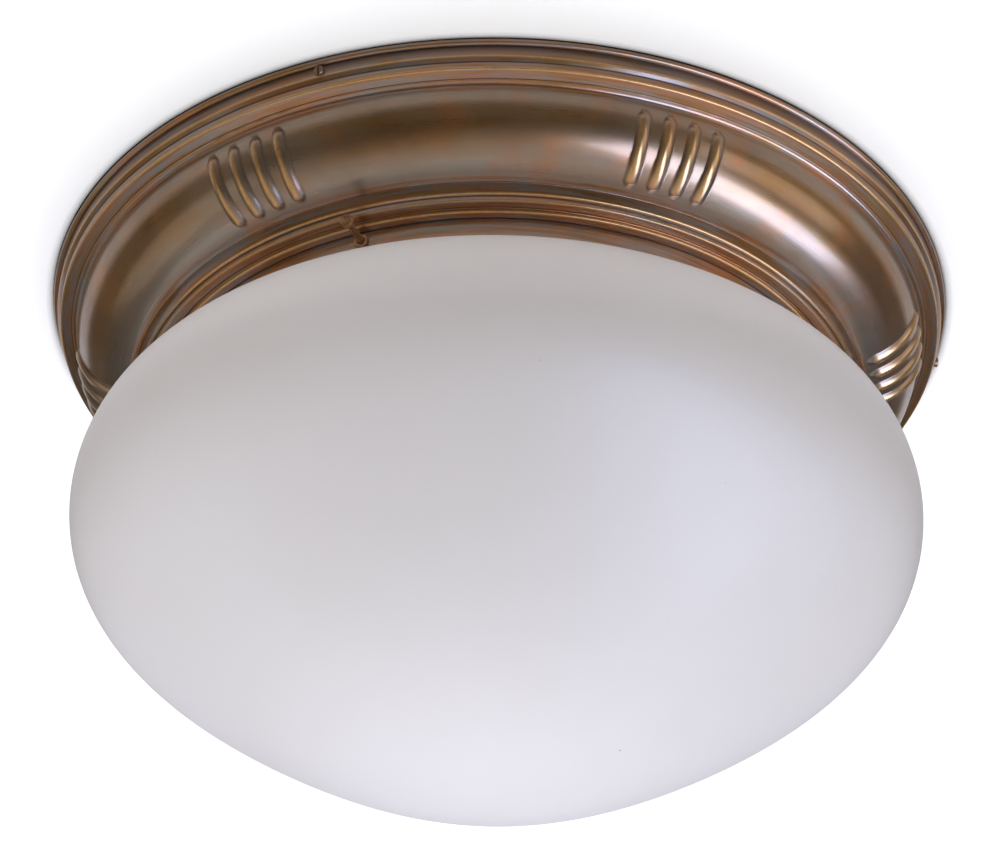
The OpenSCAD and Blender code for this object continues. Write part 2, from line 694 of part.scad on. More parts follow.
canopy();
glass_bowl();
thumb_screw_1();
thumb_screw_2();
thumb_screw_3();
gallery_bushes();
rim_screws();
ceiling_plate();
cable_bush();
bracket_1();
bracket_2();
bracket_screws();
lampholder_1();
lampholder_2();
holder_screws();
thread_shell_1();
thread_shell_2();
centre_contact_1();
centre_contact_2();
holder_terminals();
bulb_glass_1();
bulb_glass_2();
bulb_cap_1();
bulb_cap_2();
bulb_insulator_1();
bulb_insulator_2();
bulb_contact_1();
bulb_contact_2();
terminal_block();
terminal_inserts();
terminal_screws();
block_screw();
earth_screw();
earth_washer();
wire_live_1();
wire_live_2();
wire_neutral_1();
wire_neutral_2();
wire_earth();
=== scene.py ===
import math

import bmesh
import bpy
import numpy as np
from mathutils import Matrix, Vector


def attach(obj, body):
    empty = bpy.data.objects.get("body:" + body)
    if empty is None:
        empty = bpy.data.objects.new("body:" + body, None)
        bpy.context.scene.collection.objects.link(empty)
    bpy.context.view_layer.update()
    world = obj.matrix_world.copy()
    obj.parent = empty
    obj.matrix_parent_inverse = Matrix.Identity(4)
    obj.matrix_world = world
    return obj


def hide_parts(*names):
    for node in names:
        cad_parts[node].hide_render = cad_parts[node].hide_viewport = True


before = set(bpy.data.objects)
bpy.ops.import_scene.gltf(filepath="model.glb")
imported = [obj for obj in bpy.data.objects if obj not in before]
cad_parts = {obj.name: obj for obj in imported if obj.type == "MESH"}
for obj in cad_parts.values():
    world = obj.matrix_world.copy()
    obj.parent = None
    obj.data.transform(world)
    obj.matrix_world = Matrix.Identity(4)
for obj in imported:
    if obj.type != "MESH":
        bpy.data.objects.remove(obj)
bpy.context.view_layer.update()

MM = 0.001
SHARP = math.radians(38)
SCREW_ANGLES = (0, 120, 240)


# CEILING PLATE
# A pressed steel disc with a turned-down rim, zinc plated. It is screwed up first and carries the
# whole light; the canopy slides over its rim. Its finish is a thin bluish plating with a rolled grain.
def put(tree, kind, inputs=None, **settings):
    """Adds a node. Each input is a value, or the socket that feeds it; settings are the node's own."""
    node = tree.nodes.new("ShaderNode" + kind)
    for key, value in settings.items():
        setattr(node, key, value)
    for key, value in (inputs or {}).items():
        if isinstance(value, bpy.types.NodeSocket):
            tree.links.new(value, node.inputs[key])
        else:
            node.inputs[key].default_value = value
    return node


def new_effect(name, inputs, outputs):
    """A shader node group with its float inputs and its outputs, and the sockets inside both ends."""
    tree = bpy.data.node_groups.new(name, "ShaderNodeTree")
    for label, value in inputs.items():
        socket = tree.interface.new_socket(label, in_out="INPUT", socket_type="NodeSocketFloat")
        socket.default_value = value
    for label, kind in outputs.items():
        tree.interface.new_socket(label, in_out="OUTPUT", socket_type="NodeSocket" + kind)
    start = tree.nodes.new("NodeGroupInput")
    end = tree.nodes.new("NodeGroupOutput")
    return tree, start.outputs, end.inputs


def effect(tree, group, **values):
    """Places a group in a material; its values are given by the names of its inputs."""
    node = tree.nodes.new("ShaderNodeGroup")
    node.node_tree = group
    for label, value in values.items():
        node.inputs[label].default_value = value
    return node.outputs


def new_finish(name, **values):
    """A material with one Principled shader, whose plain values are set by the names of its sockets."""
    material = bpy.data.materials.new(name)
    material.use_nodes = True
    shader = material.node_tree.nodes["Principled BSDF"]
    for label, value in values.items():
        shader.inputs[label.replace("_", " ")].default_value = value
    return material, material.node_tree, shader.inputs


def blend(tree, mask, low, high):
    """A colour that goes from low to high as the mask goes from 0 to 1."""
    node = tree.nodes.new("ShaderNodeMix")
    node.data_type = "RGBA"
    tree.links.new(mask, node.inputs[0])
    for socket, value in ((node.inputs[6], low), (node.inputs[7], high)):
        if isinstance(value, bpy.types.NodeSocket):
            tree.links.new(value, socket)
        else:
            socket.default_value = (*value, 1)
    return node.outputs[2]


def between(tree, mask, low, high):
    """A number that goes from low to high as the mask goes from 0 to 1."""
    return put(tree, "MapRange", {"Value": mask, "To Min": low, "To Max": high}).outputs[0]


def rising(tree, value, low, high):
    """A mask that goes from 0 to 1 as the value goes from low to high."""
    return put(tree, "MapRange", {"Value": value, "From Min": low, "From Max": high}).outputs[0]


def maths(tree, operation, first, second):
    """One number worked out from two."""
    return put(tree, "Math", {0: first, 1: second}, operation=operation).outputs[0]


def bump(tree, height, depth, strength=1.0):
    """A normal from a height between 0 and 1; depth is in millimetres."""
    return put(tree, "Bump", {"Height": height, "Distance": depth * MM, "Strength": strength}).outputs[0]


def feed(tree, shader, colour, roughness, normal):
    """Links what was worked out for a finish to its shader."""
    tree.links.new(colour, shader["Base Color"])
    tree.links.new(roughness, shader["Roughness"])
    tree.links.new(normal, shader["Normal"])


def dress(material, *names):
    """Gives the finish to solids that keep their own shape."""
    for name in names:
        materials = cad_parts[name].data.materials
        materials.clear()
        materials.append(material)


# Uneven tone: soft patches of the given size, and where between Low and High they begin and end.
UNEVEN, given, result = new_effect("uneven_tone", {"Size": 10, "Detail": 3, "Low": 0.35, "High": 0.65},
                                   {"Mask": "Float"})
place = put(UNEVEN, "TexCoord").outputs["Object"]
scale = maths(UNEVEN, "DIVIDE", 1 / MM, given["Size"])
patches = put(UNEVEN, "TexNoise", {"Vector": place, "Scale": scale, "Detail": given["Detail"]})
clear = rising(UNEVEN, patches.outputs[0], given["Low"], given["High"])
UNEVEN.links.new(clear, result["Mask"])

# Rubbed scratches: short fine lines in two directions, a few of them deeper than the rest.
SCRATCHES, given, result = new_effect("rubbed_scratches", {"Size": 4, "Amount": 0.5}, {"Mask": "Float"})
place = put(SCRATCHES, "TexCoord").outputs["Object"]
scale = maths(SCRATCHES, "DIVIDE", 1 / MM, given["Size"])
lines = []
for turn, squeeze in ((0.5, (0.1, 2.0, 2.0)), (-0.9, (2.0, 0.12, 2.0))):
    slanted = put(SCRATCHES, "Mapping", {"Vector": place, "Rotation": [turn] * 3, "Scale": squeeze})
    fine = put(SCRATCHES, "TexNoise", {"Vector": slanted.outputs[0], "Scale": scale, "Detail": 4.0})
    lines.append(rising(SCRATCHES, fine.outputs[0], 0.58, 0.72))
most = maths(SCRATCHES, "MAXIMUM", lines[0], lines[1])
shown = maths(SCRATCHES, "MULTIPLY", most, given["Amount"])
SCRATCHES.links.new(shown, result["Mask"])


def zinc_plated(name, colour, warm, size, roughness):
    """Zinc plating: patches of a warmer tone, a fine grain, and scratches from the fitter's hands."""
    finish, tree, shader = new_finish(name, Metallic=1.0)
    tone = effect(tree, UNEVEN, Size=size, Detail=5, Low=0.3, High=0.7)["Mask"]
    grain = effect(tree, UNEVEN, Size=0.5, Detail=2, Low=0.2, High=0.8)["Mask"]
    scratch = effect(tree, SCRATCHES, Size=size / 3, Amount=0.6)["Mask"]
    plated = blend(tree, tone, colour, warm)
    bright = [min(1.0, c * 1.25) for c in colour]
    look = blend(tree, scratch, plated, bright)
    satin = between(tree, tone, roughness, roughness + 0.16)
    feed(tree, shader, look, satin, bump(tree, grain, 0.03, 0.6))
    return finish


dress(zinc_plated("plate_zinc", (0.50, 0.52, 0.55), (0.56, 0.54, 0.47), 26, 0.34), "ceiling_plate")


# CABLE BUSH
# A moulded black rubber bush with a groove that grips the plate round the cable hole. It is matt,
# with a faint moulding grain and a grey bloom of dust.
finish, tree, shader = new_finish("bush_black_rubber", Specular_IOR_Level=0.35)
bloom = effect(tree, UNEVEN, Size=5, Detail=5, Low=0.4, High=0.75)["Mask"]
grain = effect(tree, UNEVEN, Size=0.4, Detail=2, Low=0.2, High=0.8)["Mask"]
look = blend(tree, bloom, (0.018, 0.018, 0.019), (0.075, 0.072, 0.068))
feed(tree, shader, look, between(tree, bloom, 0.55, 0.82), bump(tree, grain, 0.03, 0.5))
dress(finish, "cable_bush")


# LAMP BRACKETS
# Two bent steel strips, each held under the plate by two M4 pan head screws, with a lampholder on
# the leg. Strips and screws are zinc plated in different batches, so their tones differ a little.
dress(zinc_plated("bracket_zinc", (0.54, 0.55, 0.57), (0.60, 0.57, 0.47), 14, 0.30),
      "bracket_1", "bracket_2")
dress(zinc_plated("screw_zinc", (0.60, 0.61, 0.62), (0.58, 0.55, 0.46), 3, 0.24),
      "bracket_screws", "holder_screws", "terminal_screws", "block_screw")


# LAMPHOLDERS
# Glazed white porcelain with pinholes and a few brown specks in the glaze. Inside are the thread
# shell, the springy contact and the terminals, pressed from brass that has gone dull and brown.
finish, tree, shader = new_finish("porcelain_glaze", Coat_Weight=0.6, Coat_Roughness=0.08)
milky = effect(tree, UNEVEN, Size=12, Detail=3, Low=0.3, High=0.7)["Mask"]
speck = effect(tree, UNEVEN, Size=1.6, Detail=1, Low=0.74, High=0.78)["Mask"]
wavy = effect(tree, UNEVEN, Size=5, Detail=1, Low=0.2, High=0.8)["Mask"]
glaze = blend(tree, milky, (0.80, 0.78, 0.73), (0.84, 0.83, 0.80))
look = blend(tree, speck, glaze, (0.30, 0.22, 0.14))
feed(tree, shader, look, between(tree, milky, 0.14, 0.24), bump(tree, wavy, 0.08, 0.5))
dress(finish, "lampholder_1", "lampholder_2")


def bare_brass(name, colour, tarnish, size):
    """Bare brass: brown tarnish in patches over the yellow, with fine scratches through it."""
    finish, tree, shader = new_finish(name, Metallic=1.0)
    tone = effect(tree, UNEVEN, Size=size, Detail=6, Low=0.35, High=0.62)["Mask"]
    scratch = effect(tree, SCRATCHES, Size=size / 3, Amount=0.7)["Mask"]
    dull = blend(tree, tone, colour, tarnish)
    bright = [min(1.0, c * 1.2) for c in colour]
    look = blend(tree, scratch, dull, bright)
    feed(tree, shader, look, between(tree, tone, 0.22, 0.46), bump(tree, scratch, 0.01, 0.4))
    return finish


dress(bare_brass("contact_brass", (0.76, 0.56, 0.24), (0.46, 0.30, 0.12), 6),
      "thread_shell_1", "thread_shell_2", "centre_contact_1", "centre_contact_2",
      "holder_terminals", "terminal_inserts")


# BULBS
# Two pear-shaped lamps frosted on the inside. Each has a drawn aluminium cap cemented on, a black
# glass insulator under it, and a tinned contact in the middle.
finish, tree, shader = new_finish("bulb_frosted_glass", Coat_Weight=0.8, Coat_Roughness=0.05, IOR=1.5)
frost = effect(tree, UNEVEN, Size=1.2, Detail=4, Low=0.3, High=0.7)["Mask"]
thin = effect(tree, UNEVEN, Size=30, Detail=2, Low=0.3, High=0.7)["Mask"]
look = blend(tree, thin, (0.80, 0.80, 0.79), (0.86, 0.86, 0.84))
feed(tree, shader, look, between(tree, frost, 0.42, 0.60), bump(tree, frost, 0.01, 0.4))
dress(finish, "bulb_glass_1", "bulb_glass_2")

finish, tree, shader = new_finish("bulb_cap_aluminium", Metallic=1.0)
dull = effect(tree, UNEVEN, Size=4, Detail=5, Low=0.35, High=0.65)["Mask"]
scratch = effect(tree, SCRATCHES, Size=2, Amount=0.8)["Mask"]
drawn = blend(tree, dull, (0.70, 0.70, 0.71), (0.55, 0.55, 0.54))
look = blend(tree, scratch, drawn, (0.82, 0.82, 0.83))
feed(tree, shader, look, between(tree, dull, 0.28, 0.45), bump(tree, scratch, 0.01, 0.5))
dress(finish, "bulb_cap_1", "bulb_cap_2")

finish, tree, shader = new_finish("bulb_black_glass", Coat_Weight=0.7)
seedy = effect(tree, UNEVEN, Size=1.5, Detail=3, Low=0.4, High=0.7)["Mask"]
look = blend(tree, seedy, (0.016, 0.016, 0.022), (0.05, 0.045, 0.06))
feed(tree, shader, look, between(tree, seedy, 0.10, 0.25), bump(tree, seedy, 0.04, 0.4))
dress(finish, "bulb_insulator_1", "bulb_insulator_2")

finish, tree, shader = new_finish("bulb_solder", Metallic=1.0)
lumpy = effect(tree, UNEVEN, Size=1.8, Detail=3, Low=0.3, High=0.7)["Mask"]
look = blend(tree, lumpy, (0.60, 0.60, 0.61), (0.40, 0.40, 0.41))
feed(tree, shader, look, between(tree, lumpy, 0.25, 0.5), bump(tree, lumpy, 0.15, 0.6))
dress(finish, "bulb_contact_1", "bulb_contact_2")


# TERMINAL BLOCK AND EARTH
# A three-pole block of unglazed ceramic, dry and slightly chalky, with the fitter's finger marks.
# The earth screw and its washer beside it are bare brass.
finish, tree, shader = new_finish("block_ceramic", Specular_IOR_Level=0.3)
marks = effect(tree, UNEVEN, Size=6, Detail=6, Low=0.45, High=0.75)["Mask"]
chalk = effect(tree, UNEVEN, Size=0.5, Detail=3, Low=0.2, High=0.8)["Mask"]
look = blend(tree, marks, (0.74, 0.71, 0.64), (0.58, 0.53, 0.45))
feed(tree, shader, look, between(tree, chalk, 0.62, 0.85), bump(tree, chalk, 0.05, 0.7))
dress(finish, "terminal_block")
dress(bare_brass("earth_brass", (0.78, 0.59, 0.27), (0.55, 0.38, 0.17), 4),
      "earth_screw", "earth_washer")


# INNER WIRES
# Heat-proof insulated wires from the block to the two lampholders and to the earth screw. Brown is
# live, blue is neutral, and the earth wire is green with yellow stripes.
def insulation(name, colour, faded):
    """Woven heat-proof insulation: a faded tone in patches over a fine braid."""
    finish, tree, shader = new_finish(name, Sheen_Weight=0.3, Sheen_Roughness=0.4)
    tone = effect(tree, UNEVEN, Size=9, Detail=4, Low=0.35, High=0.7)["Mask"]
    place = put(tree, "TexCoord").outputs["Object"]
    strands = []
    for turn in (0.8, -0.8):
        slanted = put(tree, "Mapping", {"Vector": place, "Rotation": (turn, turn, turn)}).outputs[0]
        wave = put(tree, "TexWave", {"Vector": slanted, "Scale": 0.6 / MM, "Distortion": 0.4})
        strands.append(wave.outputs["Fac"])
    braid = maths(tree, "MAXIMUM", strands[0], strands[1])
    worn = blend(tree, tone, colour, faded)
    dark = [c * 0.55 for c in colour]
    look = blend(tree, braid, dark, worn)
    feed(tree, shader, look, between(tree, braid, 0.75, 0.55), bump(tree, braid, 0.12, 0.7))
    return finish


dress(insulation("live_braid", (0.28, 0.12, 0.055), (0.36, 0.20, 0.12)), "wire_live_1", "wire_live_2")
dress(insulation("neutral_braid", (0.055, 0.13, 0.30), (0.12, 0.19, 0.33)),
      "wire_neutral_1", "wire_neutral_2")
finish, tree, shader = new_finish("earth_stripe")
place = put(tree, "TexCoord").outputs["Object"]
slanted = put(tree, "Mapping", {"Vector": place, "Rotation": (0.6, 0.7, 0.5)}).outputs[0]
stripe = put(tree, "TexWave", {"Vector": slanted, "Scale": 0.09 / MM}).outputs["Fac"]
bands = rising(tree, stripe, 0.52, 0.62)
soiled = effect(tree, UNEVEN, Size=7, Detail=5, Low=0.4, High=0.75)["Mask"]
two_tone = blend(tree, bands, (0.10, 0.30, 0.07), (0.66, 0.56, 0.08))
look = blend(tree, soiled, two_tone, (0.22, 0.24, 0.10))
feed(tree, shader, look, between(tree, soiled, 0.38, 0.6), bump(tree, soiled, 0.03, 0.3))
dress(finish, "wire_earth")


# CANOPY
# One brass sheet of 1 mm, spun and pressed: a rolled rim against the ceiling, two stepped bands, a
# hollow line, a quarter round with 24 pressed ribs in 6 groups, and a stepped gallery at the mouth.
# It was patinated brown and then rubbed, so each raised edge and rib is worn back to gold.
def rounded(corners, smallest=0.15, fade=0.4):
    """A line through corners (r, z, radius, worn, painted shade), each rounded to its radius, as rows of
    (r, z, worn, painted shade). The painted shade darkens inner corners. Worn and the painted shade end
    at the fade's distance from their corner."""
    rows = []
    points = [np.array(c[:2], float) for c in corners]
    for i, (r, z, radius, worn, hollow) in enumerate(corners):
        if i in (0, len(corners) - 1):
            rows.append((r, z, worn, hollow))
            continue
        back = points[i - 1] - points[i]
        ahead = points[i + 1] - points[i]
        room = min(np.linalg.norm(back), np.linalg.norm(ahead))
        u = back / np.linalg.norm(back)
        v = ahead / np.linalg.norm(ahead)
        half = math.acos(max(-1.0, min(1.0, float(u @ v)))) / 2
        reach = min(max(radius, smallest) / math.tan(half), 0.48 * room)
        if np.linalg.norm(back) / 2 > reach + fade:
            rows.append((*(points[i] + u * (reach + fade)), 0, 0))
        steps = max(2, math.ceil((math.pi - 2 * half) / math.radians(18)))
        for k in range(steps + 1):
            t = k / steps
            p = points[i] + reach * (u * (1 - t) ** 2 + v * t**2)
            rows.append((*p, worn, hollow))
        if np.linalg.norm(ahead) / 2 > reach + fade:
            rows.append((*(points[i] + v * (reach + fade)), 0, 0))
    return rows


def offset(line, t):
    """The same line, t further in towards the ceiling and the axis."""
    p = np.array([row[:2] for row in line], float)
    d = np.gradient(p, axis=0)
    d /= np.linalg.norm(d, axis=1)[:, None]
    return p + t * np.stack([d[:, 1], -d[:, 0]], axis=1)


def new_mesh(name, points, faces):
    """A closed mesh from points in millimetres, with its faces turned outward."""
    mesh = bpy.data.meshes.new(name)
    mesh.from_pydata((np.asarray(points, float) * MM).tolist(), [], faces)
    shell = bmesh.new()
    shell.from_mesh(mesh)
    bmesh.ops.recalc_face_normals(shell, faces=shell.faces)
    shell.to_mesh(mesh)
    shell.free()
    return mesh


def new_piece(name, points, faces, finish, body, *stands_for):
    """A piece from points in millimetres, shaded smooth between its sharp edges."""
    mesh = new_mesh(name, points, faces)
    mesh.shade_smooth()
    mesh.set_sharp_from_angle(angle=SHARP)
    mesh.materials.append(finish)
    piece = bpy.data.objects.new(name, mesh)
    bpy.context.scene.collection.objects.link(piece)
    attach(piece, body)
    if stands_for:
        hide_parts(*stands_for)
    return piece


def carve(piece, points, faces):
    """Cuts a closed form, its points in millimetres, out of a piece."""
    mesh = new_mesh("cutter", points, faces)
    cutter = bpy.data.objects.new("cutter", mesh)
    bpy.context.scene.collection.objects.link(cutter)
    change = piece.modifiers.new("cut", "BOOLEAN")
    change.operation = "DIFFERENCE"
    change.solver = "EXACT"
    change.object = cutter
    made = piece.evaluated_get(bpy.context.evaluated_depsgraph_get())
    whole = piece.data
    piece.data = bpy.data.meshes.new_from_object(made)
    piece.modifiers.clear()
    bpy.data.objects.remove(cutter)
    bpy.data.meshes.remove(mesh)
    bpy.data.meshes.remove(whole)
    piece.data.set_sharp_from_angle(angle=SHARP)


def ring_faces(rows, columns):
    """Four-sided faces between rows of a closed loop of rows, all round the columns."""
    i, j = np.meshgrid(np.arange(rows), np.arange(columns), indexing="ij")
    below = (i + 1) % rows
    beside = (j + 1) % columns
    corners = [i * columns + j, i * columns + beside, below * columns + beside, below * columns + j]
    return np.stack(corners, -1).reshape(-1, 4).tolist()


SHEET = 1.0
ROUND_R, ROUND_Z, ROUND = 158.5, -17.6, 30.0
ROLL_R, ROLL_Z, ROLL = 198.5, -1.5, 1.5
COVE_R, COVE = 190.7, 2.2
RIB_TUBE, RIB_PROUD, RIB_FOOT, RIB_FROM, RIB_TO = 3.2, 1.6, 1.9, 14.0, 67.0
FIRST_GROUP, RIB_PITCH = -42.75, 3.55
HIGHLIGHT_SHIFT, CREST_HALF = 0.7, 1.9
rib_angles = [FIRST_GROUP + 60 * group + (i - 1.5) * RIB_PITCH for group in range(6) for i in range(4)]

roll = [(ROLL_R + ROLL * math.cos(a), ROLL_Z + ROLL * math.sin(a), 0.1, 0.0)
        for a in np.radians(np.linspace(190, -102, 16))]
# Each corner gives its rounding, its worn edge and its painted shade, which darkens the inner corners of
# the steps.
rim = rounded([
    (198.0, -2.95, 0, 0, 1), (198.0, -8.5, 0.9, 1, 0), (196.5, -10.4, 0.4, 0, 0.9),
    (196.35, -13.7, 0.8, 1, 0), (191.2, -15.3, 0.3, 0, 0.9), (190.75, -15.32, 0.25, 0.75, 0),
    (190.2, -15.45, 0.3, 0, 0)])
cove = [(COVE_R + COVE * math.cos(a), ROUND_Z + COVE * math.sin(a), 0.0, 0.0)
        for a in np.radians([112, 128, 144, 160, 174])]
arch_turns = np.concatenate([[1.5, 4.5, 7.5], np.arange(9.5, 73, 1.25), [75, 77.5, 79.6]])
arch = [(ROUND_R + ROUND * math.cos(a), ROUND_Z - ROUND * math.sin(a), 0.0, 0.0)
        for a in np.radians(arch_turns)]
# The gallery's inner corners carry painted shade in the same way.
gallery = rounded([
    (163.7, -47.1, 0, 0, 0), (161.8, -47.75, 0.2, 0, 0.9), (161.6, -48.0, 0.2, 0.5, 0),
    (160.3, -52.5, 0.7, 1, 0), (159.0, -53.1, 0.3, 0, 0.9),
    (158.9, -55.4, 0.8, 0.6, 0), (154.5, -55.75, 0.4, 0, 0.9), (153.6, -55.4, 0.5, 0.5, 0),
    (154.5, -57.6, 1.0, 1, 0), (150.4, -58.5, 0.3, 0, 1), (150.4, -67.0, 0.2, 0.6, 0),
    (149.9, -67.0, 0, 0.3, 0)])
outer = roll + rim + cove + arch + gallery
line = np.array(outer, float)
inner = offset(outer, SHEET)[len(roll):][::-1]
inner[0] = (149.4, -66.9)
# The inside of the sheet carries a light painted shade all over.
inner_rows = np.column_stack([inner, np.zeros(len(inner)), np.full(len(inner), 0.25)])
rows = np.concatenate([line, inner_rows])

# Columns of points run close together across each rib, and wider apart between the groups.
steps = [0, 0.36, 0.72, 1.08, 1.44, 1.8, 2.12, 2.42, 2.68, 2.9, 3.12, 3.45, 4.0, 4.75]
rib_r = 176
beside_rib = [math.degrees(s / rib_r) for s in sorted({-s for s in steps} | set(steps))]
columns = [c + b for c in rib_angles for b in beside_rib]
plain_gap, margin = 60 - 3 * RIB_PITCH, 3.3
for group in range(6):
    last_rib = FIRST_GROUP + 60 * group + 1.5 * RIB_PITCH
    columns += [last_rib + g for g in np.linspace(margin, plain_gap - margin, 38)]
columns = np.radians(np.sort(np.array(columns)))


def all_along(values):
    """One value for each row, repeated for every column."""
    return np.repeat(values[:, None], len(columns), axis=1)


radius = all_along(rows[:, 0])
height = all_along(rows[:, 1])
turn = np.degrees(np.arctan2(ROUND_Z - rows[:, 1], rows[:, 0] - ROUND_R))
from_round = np.hypot(rows[:, 0] - ROUND_R, rows[:, 1] - ROUND_Z)
on_round = (np.abs(from_round - ROUND) < 0.05) | (np.abs(from_round - ROUND + SHEET) < 0.05)
on_round &= (turn > 3) & (turn < 79)
inside = from_round < ROUND - SHEET / 2
rib_wear_and_highlight = np.zeros_like(radius)
painted_light_mark = np.zeros_like(radius)
band_mark = np.ones_like(radius)
band_mark[on_round] = 0.2
foot_shade_mark = np.zeros_like(radius)
to_ribs = (columns[None, :] - np.radians(rib_angles)[:, None] + math.pi) % (2 * math.pi) - math.pi
nearest = to_ribs[np.argmin(np.abs(to_ribs), axis=0), np.arange(len(columns))]

# A rib is a tube sunk into the quarter round. Bar is how far the tube stands out of the sheet, and
# rise is the same with its foot blended in. Each rib is rubbed bright along its crest, the gold set
# toward one flank as a painted highlight, with painted shade at its foot, heavier on the other flank.
# Painted light makes the patina paler at the top and bottom of the round and near the ribs.
for i in np.flatnonzero(on_round):
    # Painted light: paler toward the bottom and top of the round and beside the ribs.
    low = np.clip((turn[i] - 44) / 24, 0, 1)
    high = np.clip((20 - turn[i]) / 14, 0, 1)
    painted_light_mark[i] = np.maximum(max(low, 0.8 * high), 0.45 * np.exp(-(np.degrees(nearest) / 6) ** 2))
    beyond = max(RIB_FROM - turn[i], 0, turn[i] - RIB_TO)
    along = math.radians(beyond) * ROUND
    across = rows[i, 0] * np.sin(nearest)
    tube = RIB_TUBE - (SHEET if inside[i] else 0)
    away = np.sqrt(across**2 + along**2)
    bar = np.sqrt(np.maximum(tube**2 - away**2, 0)) - (tube - RIB_PROUD)
    bar -= 3 * np.maximum(away - tube, 0)
    rise = np.maximum(bar, 0) + np.maximum(RIB_FOOT - np.abs(bar), 0) ** 2 / (4 * RIB_FOOT)
    radius[i] += rise * math.cos(math.radians(turn[i]))
    height[i] -= rise * math.sin(math.radians(turn[i]))
    if not inside[i]:
        fade = np.clip((turn[i] - RIB_FROM + 4) / 14, 0, 1)
        # Real wear along the crest, shifted toward one flank as a painted highlight.
        crest = 1 - np.hypot(across + HIGHLIGHT_SHIFT, along) / CREST_HALF
        rib_wear_and_highlight[i] = np.clip(crest / 0.5, 0, 1) * fade
        # Painted shade at the rib's foot, full on one flank and weaker on the other.
        foot_shade_mark[i] = np.exp(-((away - tube + 0.3) / 0.6) ** 2) * np.where(across > 0, 1, 0.35)

points = np.stack([radius * np.cos(columns), radius * np.sin(columns), height], -1).reshape(-1, 3)


# The canopy's finish: brown patina in patches and streaks under a thin clear lacquer, gold where it
# is worn, with a painted highlight on one flank of each rib. Painted shade darkens the inner corners,
# the rib feet and the inside of the sheet, and painted light makes the round paler at its top and
# bottom and near the ribs. The streaks run round, as the cloth did when it was spun and rubbed.
STREAKS, given, result = new_effect("spun_streaks", {"Width": 0.4, "Length": 9, "Low": 0.3, "High": 0.7},
                                    {"Mask": "Float"})
place = put(STREAKS, "TexCoord").outputs["Object"]
apart = put(STREAKS, "SeparateXYZ", {"Vector": place}).outputs
flat = put(STREAKS, "CombineXYZ", {0: apart[0], 1: apart[1]}).outputs[0]
out_from_axis = put(STREAKS, "VectorMath", {0: flat}, operation="LENGTH").outputs["Value"]
down = maths(STREAKS, "SUBTRACT", out_from_axis, apart[2])
count = maths(STREAKS, "DIVIDE", 1 / MM, given["Width"])
across = maths(STREAKS, "MULTIPLY", down, count)
run = maths(STREAKS, "DIVIDE", 1 / MM, given["Length"])
along = put(STREAKS, "VectorMath", {0: flat, "Scale": run}, operation="SCALE").outputs[0]
lengthwise = put(STREAKS, "SeparateXYZ", {"Vector": along}).outputs
grid = put(STREAKS, "CombineXYZ", {0: lengthwise[0], 1: lengthwise[1], 2: across}).outputs[0]
noise = put(STREAKS, "TexNoise", {"Vector": grid, "Scale": 1.0, "Detail": 3.0}).outputs[0]
STREAKS.links.new(rising(STREAKS, noise, given["Low"], given["High"]), result["Mask"])

finish, tree, shader = new_finish("canopy_patina", Metallic=0.84, Coat_Weight=1.0, Coat_Roughness=0.14,
                                  Coat_IOR=1.5)
worn = put(tree, "Attribute", attribute_name="worn").outputs["Fac"]
hollow = put(tree, "Attribute", attribute_name="hollow").outputs["Fac"]
painted_light = put(tree, "Attribute", attribute_name="painted_light").outputs["Fac"]
band = put(tree, "Attribute", attribute_name="band").outputs["Fac"]
cloud = effect(tree, UNEVEN, Size=48, Detail=4, Low=0.36, High=0.64)["Mask"]
rust = effect(tree, UNEVEN, Size=20, Detail=7, Low=0.5, High=0.74)["Mask"]
fine = effect(tree, UNEVEN, Size=2.2, Detail=6, Low=0.25, High=0.75)["Mask"]
streak = effect(tree, STREAKS, Width=0.3, Length=34)["Mask"]
brown = blend(tree, cloud, (0.38, 0.19, 0.062), (0.53, 0.30, 0.112))
# Painted light: the patina turns a paler grey where the round catches light.
part = maths(tree, "MULTIPLY", painted_light, between(tree, cloud, 0.6, 1.0))
lit_paler = blend(tree, part, brown, (0.50, 0.45, 0.37))
lilac = effect(tree, STREAKS, Width=1.6, Length=40, Low=0.42, High=0.56)["Mask"]
part = maths(tree, "MULTIPLY", lilac, between(tree, band, 0.0, 0.8))
bluish = blend(tree, part, lit_paler, (0.46, 0.42, 0.39))
ember = effect(tree, STREAKS, Width=2.1, Length=50, Low=0.46, High=0.62)["Mask"]
ember = maths(tree, "MULTIPLY", ember, band)
ember = maths(tree, "MAXIMUM", ember, rust)
part = maths(tree, "MULTIPLY", ember, 0.6)
reddish = blend(tree, part, bluish, (0.72, 0.29, 0.11))
part = maths(tree, "MULTIPLY", streak, 0.07)
streaky = blend(tree, part, reddish, (0.19, 0.115, 0.075))
# Gold where the patina is rubbed off; on the ribs its shift onto one flank is a painted highlight.
rubbed = maths(tree, "MULTIPLY", worn, between(tree, fine, 0.62, 1.0))
gold = blend(tree, rubbed, streaky, (1.0, 0.57, 0.21))
# Painted shade: nearly black in the inner corners and at the rib feet, dimmer inside the sheet.
shade_amount = maths(tree, "MULTIPLY", hollow, 0.9)
look = blend(tree, shade_amount, gold, (0.04, 0.024, 0.016))
satin = between(tree, streak, 0.27, 0.32)
more = maths(tree, "MULTIPLY", hollow, 0.3)
feed(tree, shader, look, maths(tree, "ADD", satin, more), bump(tree, streak, 0.001, 0.3))

faces = ring_faces(len(rows), len(columns))
canopy = new_piece("canopy_sheet", points, faces, finish, "ceiling_body", "canopy")
